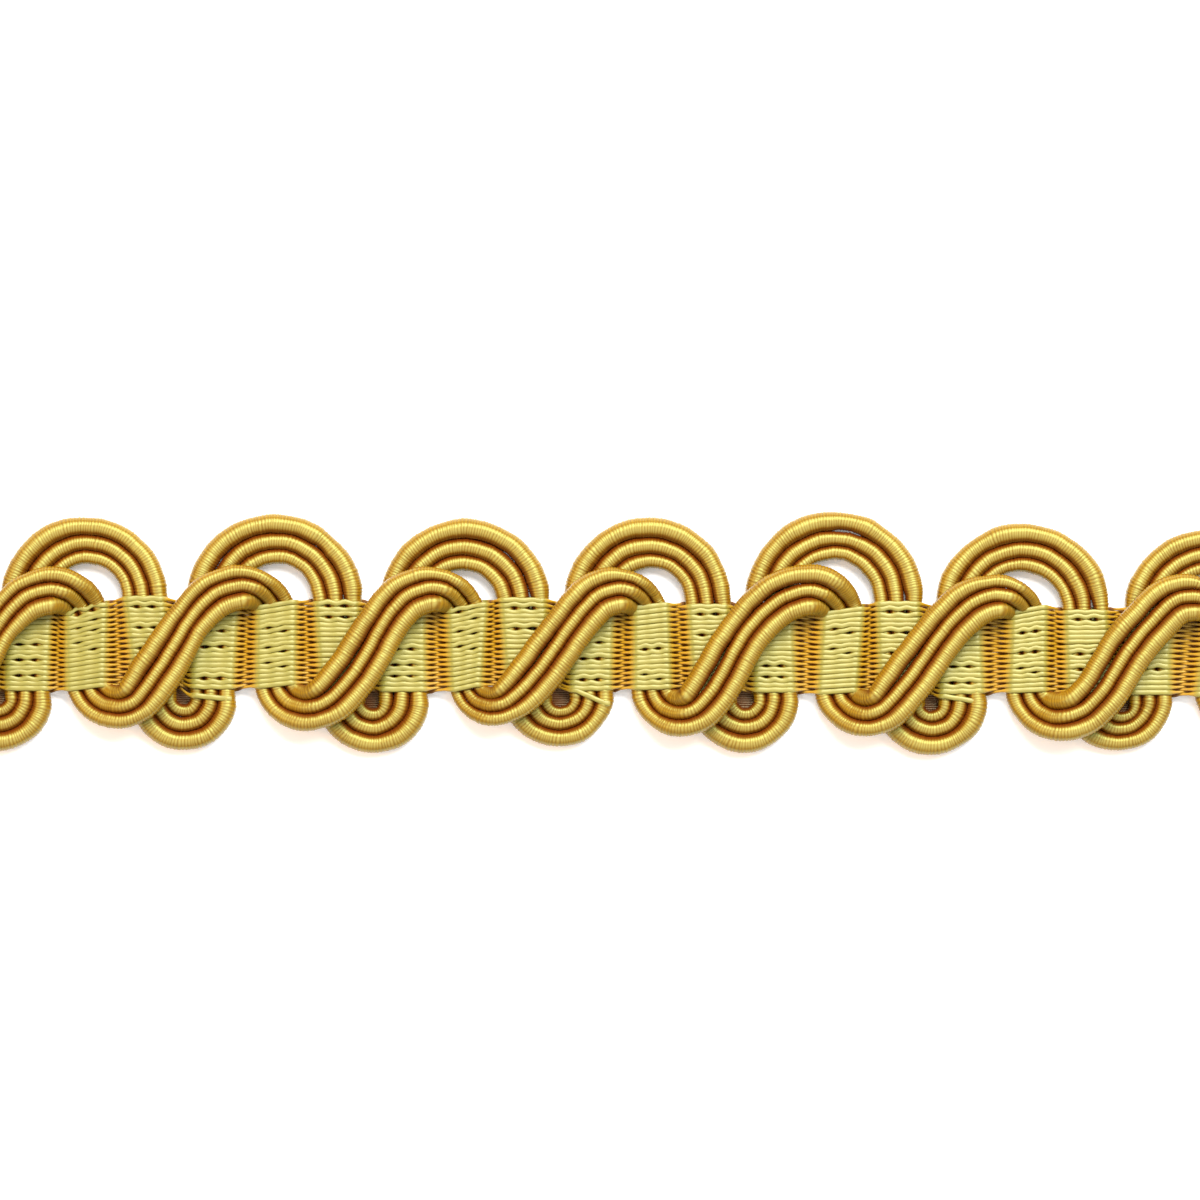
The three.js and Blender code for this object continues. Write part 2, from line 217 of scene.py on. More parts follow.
def linear(colour):
    """The linear colour of an sRGB hex value such as '#C9992B'."""
    values = [int(colour[place:place + 2], 16) / 255 for place in (1, 3, 5)]
    return tuple(v / 12.92 if v <= 0.04045 else ((v + 0.055) / 1.055) ** 2.4 for v in values)


def rgba(colour):
    return (*colour, 1.0)


def length(name, description, millimetres):
    """A setting for a size, given in millimetres and kept in metres."""
    return bpy.props.FloatProperty(
        name=name, description=description, default=millimetres * MM, unit="LENGTH", precision=5)


def dye(name, description, colour):
    """A setting for a colour, given as an sRGB hex value."""
    return bpy.props.FloatVectorProperty(
        name=name, description=description, default=linear(colour), subtype="COLOR")


class CordSettings(bpy.types.PropertyGroup):
    thickness: length("Thickness", "Width of a wound cord", 1.6)
    woven_height: length("Woven height", "Height of a cord's middle where the band holds it", 1.22)
    over_height: length("Height over the band", "Height of a front cord's middle over the band", 3.22)
    arch_sag: length("Arch sag", "How far the back cords sag in their open turns", 0.2)
    winding_pitch: length("Winding pitch", "Length of cord that one turn of the winding covers", 0.3)
    ridge_depth: length("Ridge depth", "Depth of the valleys between the winding's turns", 0.062)
    rim: length("Rim", "Thickness of the winding round a cut end", 0.12)
    sides: bpy.props.IntProperty(name="Sides", description="Faces round a cord", default=12, min=6, max=24)
    crest_colour: dye("Winding", "Colour of the winding", "#8A620A")
    # The crown colour is a painted highlight: the top of each cord is painted paler, as if lit
    crown_highlight_colour: dye("Crown", "Paler colour along the top of a cord", "#9C9050")
    # The valley colour is painted shade between the winding's turns
    valley_shade_colour: dye("Valleys", "Colour between the winding's turns", "#6A3F05")
    # The groove colour is painted shade deep between two cords, where they face each other
    groove_shade_colour: dye("Grooves", "Colour deep between two cords, where dye and dust gather", "#602B07")
    sheen_colour: dye("Sheen", "Tint of the light that the winding throws back", "#DFFF95")
    core_colour: dye("Core", "Colour of the core yarns at a cut end", "#E6D7AE")


class WarpSettings(bpy.types.PropertyGroup):
    count: bpy.props.IntProperty(
        name="Threads in a set", description="Warp threads that lie over one group of cords", default=17)
    crest_width: length("Crest width", "Width of a thread where it lies flat over the cords", 0.59)
    waist_width: length("Waist width", "Width of a thread where the two sets cross", 0.29)
    thickness: length("Thickness", "Thickness of a thread where it lies flat", 0.19)
    sides: bpy.props.IntProperty(name="Sides", description="Faces round a thread", default=8, min=6, max=16)
    colour: dye("Thread", "Colour of the warp threads", "#898034")
    # The slope colour is painted warm shade on the threads where they dip between two crests
    slope_shade_colour: dye("Slopes", "Colour of the threads between two crests", "#AB8014")
    # The depth colour is painted shade on the threads just under the cords and on the slack threads
    deep_shade_colour: dye("Depths", "Colour deep between two threads, where dye and dust gather", "#6A3208")
    sheen_colour: dye("Sheen", "Tint of the light that the threads throw back", "#F4F4C8")


class StageSettings(bpy.types.PropertyGroup):
    floor_size: length("Floor size", "Side of the floor", 4000.0)
    floor_colour: dye("Floor", "Colour of the floor", "#FAFAFA")
    floor_glow: bpy.props.FloatProperty(
        name="Floor glow", description="Brightness of the light table below the trim", default=0.2)
    view_width: length("View width", "Width of what the camera sees", 129.6)
    view_x: length("View middle X", "Middle of the view along the trim", 1.67)
    view_y: length("View middle Y", "Middle of the view across the trim", 4.75)
    lens: bpy.props.FloatProperty(
        name="Lens", description="Focal length of the camera", default=200.0, unit="CAMERA")
    key_power: bpy.props.FloatProperty(
        name="Key light", description="Power of the large light over the arches", default=22.5, unit="POWER")
    warm_power: bpy.props.FloatProperty(
        name="Warm light", description="Power of the low warm light", default=4.5, unit="POWER")
    sky: bpy.props.FloatProperty(
        name="Surround", description="Brightness of the white surround", default=0.82)


class TrimSettings(bpy.types.PropertyGroup):
    cord: bpy.props.PointerProperty(type=CordSettings)
    warp: bpy.props.PointerProperty(type=WarpSettings)
    stage: bpy.props.PointerProperty(type=StageSettings)


# Routes of the cords, in millimetres

CURVE_STEP = 0.14  # between the points of a turn
LEG_STEP = 0.3  # between the points of a leg
TABLE_CLEARANCE = 0.04  # between a cord's regular underside and the table

# Waves of a cord's small strays from its regular line: how long, and how far
STRAY_WAVES = ((1.7, 0.01), (2.9, 0.014), (5.3, 0.018), (9.7, 0.02))
STRAY_SHARES = (1.0, 1.0, 0.5)  # of that along the trim, across it and in height

# Half the thickness of a cord in each scroll
CORD_CONTACT = {"back": 1.07, "front": 1.05}  # as a share of its room: the cords press into each other
HALF_LIMITS = {"back": (0.6, 1.12), "front": (0.6, 1.03)}  # its least and its most
MIDDLE_LIMITS = {"back": 0.9, "front": 0.77}  # the most for a middle cord
WOVEN_HALF = 0.82  # the most for a cord that the band holds

# Where the band holds the cords
HOLD_MIDDLE, HOLD_REACH = -0.2, 4.5  # across the trim: its middle, and how far it goes on each side
FREE_LIFT = (0.3, 1.2)  # over the woven height, where a front cord comes free of it

# Places where two back cords stand apart in an arch, as (x, y, reach, share of the thickness kept)
OPEN_PLACES = ((28.2, 11.9, 2.6, 0.87), (-28.4, 10.7, 1.3, 0.89))
OPEN_CORE = 0.4  # of the reach, where they stand apart the most

SMOOTHED_POINTS = 15  # of a route that a running mean takes in
# Inside a tight turn the cord gets the painted groove shade
TIGHT_BENDS = (0.3, 0.5)  # in radians for a millimetre, where a turn to the left becomes tight


def smooth(value, low, high):
    """From 0 at low to 1 at high, with a soft start and a soft end."""
    share = np.clip((value - low) / (high - low), 0.0, 1.0)
    return share * share * (3.0 - 2.0 * share)


def cord_turns(scroll, cord):
    """The turns of one cord, in the order in which it meets them."""
    if scroll == "back":
        halves = ((BACK_TOPS, cord.back_top, 1), (BACK_LOWS, cord.back_low, -1))
    else:
        halves = ((FRONT_TOPS, cord.front_top, 1), (FRONT_LOWS, cord.front_low, -1))
    turns = []
    for table, share, side in halves:
        for repeat, (slip, y, r, inner_slip, inner_y, inner_r) in enumerate(table.rows, table.first):
            turns.append(Turn(
                table.start + REPEAT * repeat + slip + (inner_slip - slip) * share,
                y + (inner_y - y) * share,
                r + (inner_r - r) * share,
                side,
                repeat,
            ))
    return sorted(turns, key=lambda turn: (turn.repeat, -turn.side))


def leg_between(start, end):
    """Heading and both ends of the straight leg that touches two turns, on opposite sides of it."""
    dx, dy = end.x - start.x, end.y - start.y
    lean = math.asin((start.side * start.r - end.side * end.r) / math.hypot(dx, dy))
    heading = math.atan2(dy, dx) - lean
    ends = [
        (turn.x - turn.side * turn.r * math.sin(heading), turn.y + turn.side * turn.r * math.cos(heading))
        for turn in (start, end)
    ]
    return heading, *ends


def bowed(points, cord, low, top):
    """Points of a front cord's slant between two turns, bowed sideways by a curve through the three values
    of its row, which ends at 0 in both turns."""
    if low.side > 0 or not 0 <= top.repeat < len(SLANT_BOWS):
        return points
    foot = low.y - low.r
    share = (points[:, 1] - foot) / (top.y + top.r - foot)
    bow = np.zeros(len(points))
    for place, outer, inner in zip(BOW_SHARES, *SLANT_BOWS[top.repeat]):
        weight = (outer + (inner - outer) * cord.front_top) / (place * (1 - place))
        for other in BOW_SHARES:
            if other != place:
                weight = weight * (share - other) / (place - other)
        bow += weight * share * (1 - share)
    return points + np.outer(bow, (1, 0, 0))


def cord_route(scroll, cord, heights):
    """Points of a cord's middle line. heights are its woven height, its height over the band and the sag of
    its open arches."""
    woven, over, sag = heights
    turns = cord_turns(scroll, cord)
    legs = [leg_between(*pair) for pair in zip(turns, turns[1:])]
    headings = [0.0, *(leg[0] for leg in legs), 0.0]
    points = []
    for index, turn in enumerate(turns):
        start = headings[index] + turn.side * math.pi / 2
        sweep = headings[index + 1] - headings[index]
        share = np.linspace(0.0, 1.0, max(3, math.ceil(abs(sweep) * turn.r / CURVE_STEP)))
        angle = start + sweep * share
        if scroll == "back":
            z = woven - sag * np.sin(math.pi * share)
        elif turn.side > 0:
            z = over + (woven - over) * smooth(share, *cord.fall)
        else:
            z = woven + (over - woven) * smooth(share, *cord.rise)
        turned = np.column_stack((turn.x + turn.r * np.cos(angle), turn.y + turn.r * np.sin(angle), z))
        before = np.cos(angle) < 0
        if scroll == "front" and index > 0:
            turned[before] = bowed(turned[before], cord, turns[index - 1], turn)
        if scroll == "front" and index < len(legs):
            turned[~before] = bowed(turned[~before], cord, turn, turns[index + 1])
        points.append(turned)
        if index < len(legs):
            _, (x0, y0), (x1, y1) = legs[index]
            inner = np.linspace(0.0, 1.0, math.ceil(math.hypot(x1 - x0, y1 - y0) / LEG_STEP))[1:-1]
            z = np.full(len(inner), turned[-1, 2])
            leg = np.column_stack((x0 + (x1 - x0) * inner, y0 + (y1 - y0) * inner, z))
            points.append(bowed(leg, cord, turn, turns[index + 1]) if scroll == "front" else leg)
    return np.vstack(points)


def strayed(points, seed):
    """A route with the small strays of soft cord, sideways and in height."""
    chance = np.random.default_rng(seed)
    steps = np.sqrt((np.diff(points, axis=0) ** 2).sum(1))
    along = np.concatenate(([0.0], np.cumsum(steps)))
    moved = points.copy()
    for wave, reach in STRAY_WAVES:
        for axis, share in enumerate(STRAY_SHARES):
            start = chance.uniform(0, 2 * math.pi)
            moved[:, axis] += share * reach * np.sin(2 * math.pi * along / wave + start)
    return moved


def evened(values):
    """The running mean of values along a route."""
    spread = np.ones(SMOOTHED_POINTS) / SMOOTHED_POINTS
    return np.convolve(np.pad(values, SMOOTHED_POINTS // 2, mode="edge"), spread, mode="valid")


def nearest_on(route, other):
    """For each point of a route, how far the other route is, and which of its points is the nearest."""
    apart = np.sqrt(((route[:, None, :] - other[None, :, :]) ** 2).sum(2))
    return apart.min(1), apart.argmin(1)


def half_thicknesses(scroll, routes, woven):
    """Half the thickness of three cords along their routes: each swells or thins with the room that the
    other two leave it, because the soft cords are packed against each other. Where the band holds them
    they are pressed thin. An inner cord that can't fill its room is moved up to the middle cord."""
    outer, middle, inner = routes
    to_outer, _ = nearest_on(middle, outer)
    to_inner, _ = nearest_on(middle, inner)
    rooms = [np.minimum((to_outer + to_inner) / 4, MIDDLE_LIMITS[scroll])]
    for route in (outer, inner):
        apart, index = nearest_on(route, middle)
        rooms.append(apart - rooms[0][index])
    least, most = HALF_LIMITS[scroll]
    halves = []
    for room, route in zip(rooms, (middle, outer, inner)):
        outside = smooth(np.abs(route[:, 1] - HOLD_MIDDLE) - HOLD_REACH, 0.0, 1.0)
        above = smooth(route[:, 2] - woven, *FREE_LIFT)
        limit = WOVEN_HALF + (most - WOVEN_HALF) * np.maximum(outside, above)
        halves.append(evened(np.clip(room * CORD_CONTACT[scroll], least, limit)))
    middle_half, outer_half, inner_half = halves
    for x, y, reach, kept in OPEN_PLACES:
        for half, route in ((outer_half, outer), (middle_half, middle)):
            away = np.hypot(route[:, 0] - x, route[:, 1] - y)
            half *= kept + (1 - kept) * smooth(away, OPEN_CORE * reach, reach)
    apart, index = nearest_on(inner, middle)
    slack = np.maximum(apart - (inner_half + middle_half[index]) / CORD_CONTACT[scroll], 0.0)
    inner += (middle[index] - inner) * (slack / apart)[:, None]
    return outer_half, middle_half, inner_half


def left_tightness(route):
    """From 0 to 1, how tightly a route turns left at each of its points: 1 in the smallest low turns, whose
    inside is then painted in the dark groove colour as shade.
    """
    dx, dy = np.gradient(route[:, 0]), np.gradient(route[:, 1])
    bend = np.gradient(np.unwrap(np.arctan2(dy, dx))) / np.hypot(dx, dy)
    return smooth(evened(bend), *TIGHT_BENDS)


# Node trees

UP = (0.0, 0.0, 1.0)

RINGS_PER_WINDING = 4  # rings of faces for one turn of the winding
DRIFT_WINDINGS = 2.4  # turns by which the winding crowds and spreads
RIDGE_SINK = 0.7  # share of a ridge's height that lies below the cord's regular surface

# Noise along a cord, as changes for one winding and detail
DRIFT_NOISE = (0.12, 2.0)
LUMP_NOISE = (0.7, 1.0)
SWELL_NOISE = (0.05, 2.0)

# The inputs of a node that mixes two colours, and its output
SHARE, UNDER, OVER, MIXED = 0, 6, 7, 2


def fill(tree, node, inputs):
    """Fills a node's inputs, or links them to an output. A node stands for its first output."""
    for key, value in dict(inputs).items():
        if isinstance(value, bpy.types.Node):
            value = value.outputs[0]
        if isinstance(value, bpy.types.NodeSocket):
            tree.links.new(value, node.inputs[key])
        else:
            node.inputs[key].default_value = value


def add_node(tree, kind, settings=(), inputs=()):
    """Adds a node to a tree, sets its properties, and fills or links its inputs."""
    node = tree.nodes.new(kind)
    for name, value in dict(settings).items():
        setattr(node, name, value)
    fill(tree, node, inputs)
    return node


def new_tree(name, inputs):
    """A geometry node tree with a geometry input and output and the named inputs, and its input node."""
    tree = bpy.data.node_groups.new(name, "GeometryNodeTree")
    tree.interface.new_socket(name="Geometry", in_out="INPUT", socket_type="NodeSocketGeometry")
    for label, kind in inputs:
        tree.interface.new_socket(name=label, in_out="INPUT", socket_type=kind)
    tree.interface.new_socket(name="Geometry", in_out="OUTPUT", socket_type="NodeSocketGeometry")
    return tree, tree.nodes.new("NodeGroupInput")


def close_tree(tree, geometry, helpers, material):
    """Ends a tree: without its helper attributes, as real faces, shaded smooth, with their material."""
    for name in helpers:
        geometry = add_node(tree, "GeometryNodeRemoveAttribute", inputs={"Geometry": geometry, "Name": name})
    real = add_node(tree, "GeometryNodeRealizeInstances", inputs={"Geometry": geometry})
    soft = add_node(tree, "GeometryNodeSetShadeSmooth", inputs={"Geometry": real})
    done = add_node(tree, "GeometryNodeSetMaterial", inputs={"Geometry": soft, "Material": material})
    add_node(tree, "NodeGroupOutput", inputs={0: done})


def wound_cord_tree():
    """Sweeps a route into a cord with the ridges of a helical winding. The route's points carry half, half
    the cord's thickness, and tight, how tightly it turns left, which also brings the painted groove shade
    onto the inside of the tightest turns. The finished faces carry heading, the way the cord runs, ridge,
    from 0 in the valleys to 1 on the windings, which sets the painted shade in the valleys, sideways, up to 1
    where they face the next cord, which sets the painted shade in the grooves, and upward, up to 1 where they
    face up, which sets the painted highlight along the crown."""
    tree, given = new_tree("Wound cord", (
        ("Winding pitch", "NodeSocketFloat"),
        ("Ridge depth", "NodeSocketFloat"),
        ("Sides", "NodeSocketInt"),
        ("Groove left", "NodeSocketFloat"),
        ("Groove right", "NodeSocketFloat"),
        ("Seed", "NodeSocketFloat"),
        ("Material", "NodeSocketMaterial"),
    ))
    pitch = given.outputs["Winding pitch"]
    half, tight, along, around, centre, right = (
        add_node(tree, "GeometryNodeInputNamedAttribute", {"data_type": kind}, {"Name": name})
        for name, kind in (
            ("half", "FLOAT"), ("tight", "FLOAT"), ("along", "FLOAT"), ("around", "FLOAT"),
            ("centre", "FLOAT_VECTOR"), ("right", "FLOAT_VECTOR"),
        )
    )
    place = add_node(tree, "GeometryNodeInputPosition")
    spline = add_node(tree, "GeometryNodeSplineParameter")
    tangent = add_node(tree, "GeometryNodeInputTangent")
    to_right = add_node(tree, "ShaderNodeVectorMath", {"operation": "CROSS_PRODUCT"}, {0: tangent, 1: UP})
    step = add_node(tree, "ShaderNodeMath", {"operation": "DIVIDE"}, {0: pitch, 1: RINGS_PER_WINDING})
    line = add_node(tree, "GeometryNodeMeshToCurve", inputs={0: given.outputs["Geometry"]})
    even = add_node(tree, "GeometryNodeResampleCurve", {"mode": "LENGTH"}, {"Curve": line, "Length": step})
    route = add_node(tree, "GeometryNodeSetCurveNormal", {"mode": "Z_UP"}, {"Curve": even})
    for name, kind, value in (
        ("along", "FLOAT", spline.outputs["Length"]),
        ("centre", "FLOAT_VECTOR", place),
        ("heading", "FLOAT_VECTOR", tangent),
        ("right", "FLOAT_VECTOR", to_right),
    ):
        route = add_node(tree, "GeometryNodeStoreNamedAttribute", {"data_type": kind},
                         {"Geometry": route, "Name": name, "Value": value})
    circle = add_node(tree, "GeometryNodeCurvePrimitiveCircle", {"mode": "RADIUS"},
                      {"Resolution": given.outputs["Sides"], "Radius": 1.0})
    section = add_node(tree, "GeometryNodeStoreNamedAttribute", {"data_type": "FLOAT"},
                       {"Geometry": circle, "Name": "around", "Value": spline.outputs["Factor"]})
    tube = add_node(tree, "GeometryNodeCurveToMesh", inputs={
        "Curve": route, "Profile Curve": section, "Scale": half, "Fill Caps": True})
    # How many windings lie before a point, with slow drift, so that some crowd and some stand apart
    turns = add_node(tree, "ShaderNodeMath", {"operation": "DIVIDE"}, {0: along, 1: pitch})
    seeded = add_node(tree, "ShaderNodeMath", {"operation": "ADD"}, {0: turns, 1: given.outputs["Seed"]})
    drift, lumps, swells = (
        add_node(tree, "ShaderNodeTexNoise", {"noise_dimensions": "1D"},
                 {"W": seeded, "Scale": scale, "Detail": detail})
        for scale, detail in (DRIFT_NOISE, LUMP_NOISE, SWELL_NOISE)
    )
    drifted = add_node(tree, "ShaderNodeMath", {"operation": "MULTIPLY_ADD"},
                       {0: drift, 1: DRIFT_WINDINGS, 2: turns})
    helix = add_node(tree, "ShaderNodeMath", {"operation": "ADD"}, {0: drifted, 1: around})
    angle = add_node(tree, "ShaderNodeMath", {"operation": "MULTIPLY"}, {0: helix, 1: math.pi})
    wave = add_node(tree, "ShaderNodeMath", {"operation": "SINE"}, {0: angle})
    ridge = add_node(tree, "ShaderNodeMath", {"operation": "ABSOLUTE"}, {0: wave})
    # Single windings stand higher or lower than the rest, and the cord's thickness changes slowly
    lift, swell = (
        add_node(tree, "ShaderNodeMapRange", inputs={
            "Value": noise, "From Min": 0.25, "From Max": 0.75, "To Min": low, "To Max": high})
        for noise, low, high in ((lumps, 0.45, 1.5), (swells, 0.97, 1.03))
    )
    rise = add_node(tree, "ShaderNodeMath", {"operation": "MULTIPLY"}, {0: ridge, 1: lift})
    sunk = add_node(tree, "ShaderNodeMath", {"operation": "SUBTRACT"}, {0: rise, 1: RIDGE_SINK})
    relief = add_node(tree, "ShaderNodeMath", {"operation": "MULTIPLY"},
                      {0: sunk, 1: given.outputs["Ridge depth"]})
    share = add_node(tree, "ShaderNodeMath", {"operation": "DIVIDE"}, {0: relief, 1: half})
    factor = add_node(tree, "ShaderNodeMath", {"operation": "ADD"}, {0: swell, 1: share})
    out = add_node(tree, "ShaderNodeVectorMath", {"operation": "SUBTRACT"}, {0: place, 1: centre})
    scaled = add_node(tree, "ShaderNodeVectorMath", {"operation": "SCALE"}, {0: out, "Scale": factor})
    moved = add_node(tree, "ShaderNodeVectorMath", {"operation": "ADD"}, {0: centre, 1: scaled})
    # Which way the faces look: up, for the painted highlight along the crown, and to the sides where a groove
    # lies, for the painted shade between the cords
    outward = add_node(tree, "ShaderNodeVectorMath", {"operation": "NORMALIZE"}, {0: out})
    upward, rightward = (
        add_node(tree, "ShaderNodeVectorMath", {"operation": "DOT_PRODUCT"}, {0: outward, 1: way})
        .outputs["Value"] for way in (UP, right)
    )
    leftward = add_node(tree, "ShaderNodeMath", {"operation": "MULTIPLY"}, {0: rightward, 1: -1.0})
    # Painted shade on the left also where the cord turns tightly left, on the inside of the turn round the
    # small hole
    left_groove = add_node(tree, "ShaderNodeMath", {"operation": "MAXIMUM"},
                           {0: given.outputs["Groove left"], 1: tight})
    on_right = add_node(tree, "ShaderNodeMath", {"operation": "MULTIPLY"},
                        {0: rightward, 1: given.outputs["Groove right"]})
    on_left = add_node(tree, "ShaderNodeMath", {"operation": "MULTIPLY"}, {0: leftward, 1: left_groove})
    sideways = add_node(tree, "ShaderNodeMath", {"operation": "MAXIMUM"}, {0: on_left, 1: on_right})
    marked = tube
    for name, value in (("ridge", ridge), ("sideways", sideways), ("upward", upward)):
        marked = add_node(tree, "GeometryNodeStoreNamedAttribute", {"data_type": "FLOAT"},
                          {"Geometry": marked, "Name": name, "Value": value})
    ridged = add_node(tree, "GeometryNodeSetPosition", inputs={"Geometry": marked, "Position": moved})
    helpers = ("along", "centre", "around", "half", "right", "tight")
    close_tree(tree, ridged, helpers, given.outputs["Material"])
    return tree


def warp_thread_tree():
    """Sweeps routes into flat threads. The routes' points carry width and height, both whole."""
    tree, given = new_tree("Warp threads", (
        ("Sides", "NodeSocketInt"),
        ("Material", "NodeSocketMaterial"),
    ))
    width, height, centre = (
        add_node(tree, "GeometryNodeInputNamedAttribute", {"data_type": kind}, {"Name": name})
        for name, kind in (("width", "FLOAT"), ("height", "FLOAT"), ("centre", "FLOAT_VECTOR"))
    )
    place = add_node(tree, "GeometryNodeInputPosition")
    line = add_node(tree, "GeometryNodeMeshToCurve", inputs={0: given.outputs["Geometry"]})
    upright = add_node(tree, "GeometryNodeSetCurveNormal", {"mode": "Z_UP"}, {"Curve": line})
    centred = add_node(tree, "GeometryNodeStoreNamedAttribute", {"data_type": "FLOAT_VECTOR"},
                       {"Geometry": upright, "Name": "centre", "Value": place})
    circle = add_node(tree, "GeometryNodeCurvePrimitiveCircle", {"mode": "RADIUS"},
                      {"Resolution": given.outputs["Sides"], "Radius": MM / 2})
    tube = add_node(tree, "GeometryNodeCurveToMesh", inputs={
        "Curve": centred, "Profile Curve": circle, "Fill Caps": True})
    # The round tube, 1 mm thick, is drawn out to the thread's width and flattened to its height
    stretch = add_node(tree, "ShaderNodeCombineXYZ", inputs={"X": height, "Y": width, "Z": height})
    out = add_node(tree, "ShaderNodeVectorMath", {"operation": "SUBTRACT"}, {0: place, 1: centre})
    flat = add_node(tree, "ShaderNodeVectorMath", {"operation": "MULTIPLY"}, {0: out, 1: stretch})
    moved = add_node(tree, "ShaderNodeVectorMath", {"operation": "ADD"}, {0: centre, 1: flat})
    shaped = add_node(tree, "GeometryNodeSetPosition", inputs={"Geometry": tube, "Position": moved})
    close_tree(tree, shaped, ("centre", "width", "height"), given.outputs["Material"])
    return tree


# Meshes


def route_mesh(name, routes, attributes):
    """A mesh of one polyline for each route, in metres, with its point attributes."""
    mesh = bpy.data.meshes.new(name)
    points = np.vstack(routes) * MM
    edges, first = [], 0
    for route in routes:
        edges += [(index, index + 1) for index in range(first, first + len(route) - 1)]
        first += len(route)
    mesh.from_pydata(points.tolist(), edges, [])
    for label, values in attributes.items():
        attribute = mesh.attributes.new(label, "FLOAT", "POINT")
        attribute.data.foreach_set("value", np.concatenate(values).astype(np.float32))
    return mesh


def grown(name, mesh, tree, values):
    """A plain mesh object from a node tree on a route mesh."""
    source = bpy.data.objects.new(name + "_route", mesh)
    modifier = source.modifiers.new("Growth", "NODES")
    modifier.node_group = tree
    for item in tree.interface.items_tree:
        if item.in_out == "INPUT" and item.name in values:
            modifier[item.identifier] = values[item.name]
    bpy.context.scene.collection.objects.link(source)
    graph = bpy.context.evaluated_depsgraph_get()
    finished = bpy.data.meshes.new_from_object(source.evaluated_get(graph))
    source.modifiers.clear()
    bpy.data.objects.remove(source)
    bpy.data.meshes.remove(mesh)
    finished.name = name
    piece = bpy.data.objects.new(name, finished)
    bpy.context.scene.collection.objects.link(piece)
    if not finished.polygons:
        raise RuntimeError(name + " has no faces")
    return piece


def cut_ends(piece, core, rim):
    """Cuts a cord off straight at both cuts, and fills its ends with the core inside a rim of winding."""
    piece.data.materials.append(core)
    shape = bmesh.new()
    shape.from_mesh(piece.data)
    for side in (-1, 1):
        everything = shape.verts[:] + shape.edges[:] + shape.faces[:]
        cut = bmesh.ops.bisect_plane(
            shape, geom=everything, plane_co=(side * CUT_AT, 0, 0), plane_no=(side, 0, 0), clear_outer=True)
        outlines = [item for item in cut["geom_cut"] if isinstance(item, bmesh.types.BMEdge)]
        ends = bmesh.ops.contextual_create(shape, geom=outlines)["faces"]
        rims = bmesh.ops.inset_individual(shape, faces=ends, thickness=rim, depth=0.0)["faces"]
        for face in ends:
            face.material_index = 1
        for face in ends + rims:
            face.smooth = False
    bmesh.ops.recalc_face_normals(shape, faces=shape.faces[:])
    shape.to_mesh(piece.data)
    shape.free()


# Materials

# How much the winding's brightness varies in broad patches, as a share of the step from valley to ridge
WEAR = 0.8


def new_material(name):
    material = bpy.data.materials.new(name)
    material.use_nodes = True
    return material, material.node_tree, material.node_tree.nodes["Principled BSDF"]


def wound_rayon(settings):
    """Rayon floss wound round a cotton core: a soft bright line along the cord, broken by each winding and
    partly painted as a paler crown, and deep warm shade where it turns away, partly painted into the valleys
    between the windings and into the grooves between the cords."""
    material, tree, surface = new_material("rayon_floss_winding")
    ridge, sideways, upward = (
        add_node(tree, "ShaderNodeAttribute", {"attribute_name": name}).outputs["Fac"]
        for name in ("ridge", "sideways", "upward")
    )
    heading = add_node(tree, "ShaderNodeAttribute", {"attribute_name": "heading"})
    place = add_node(tree, "ShaderNodeTexCoord")
    broad = add_node(tree, "ShaderNodeTexNoise", inputs={
        "Vector": place.outputs["Object"], "Scale": 260.0, "Detail": 3.0})
    worn = add_node(tree, "ShaderNodeMath", {"operation": "MULTIPLY_ADD"}, {0: broad, 1: WEAR, 2: -WEAR / 2})
    winding = add_node(tree, "ShaderNodeMath", {"operation": "ADD", "use_clamp": True}, {0: ridge, 1: worn})
    # Painted highlight: faces that look up are painted in the paler crown colour, more on the windings'
    # ridges
    crown = add_node(tree, "ShaderNodeMapRange", {"interpolation_type": "SMOOTHSTEP"}, {
        "Value": upward, "From Min": 0.8, "From Max": 0.98, "To Min": 0.0, "To Max": 0.85})
    crown_highlight_share = add_node(tree, "ShaderNodeMath", {"operation": "MULTIPLY"}, {0: crown, 1: winding})
    # Painted shade: the faces towards the next cord, and inside tight turns, take the dark groove colour
    groove = add_node(tree, "ShaderNodeMapRange", {"interpolation_type": "SMOOTHSTEP"}, {
        "Value": sideways, "From Min": 0.4, "From Max": 0.78, "To Min": 0.0, "To Max": 1.0})
    # Painted shade: the cord is painted darker in the valleys between the windings and lighter on their
    # ridges, with broad patches of random tone
    colour = rgba(settings.valley_shade_colour)
    for share, over in (
        (winding, settings.crest_colour),
        (crown_highlight_share, settings.crown_highlight_colour),
        (groove, settings.groove_shade_colour),
    ):
        mixed = add_node(tree, "ShaderNodeMix", {"data_type": "RGBA"},
                         {SHARE: share, UNDER: colour, OVER: rgba(over)})
        colour = mixed.outputs[MIXED]
    fill(tree, surface, {
        "Base Color": colour,
        "Roughness": 0.4,
        "IOR": 1.6,
        "Specular IOR Level": 0.75,
        "Specular Tint": rgba(settings.sheen_colour),
        "Anisotropic": 0.8,
        "Tangent": heading.outputs["Vector"],
    })
    return material


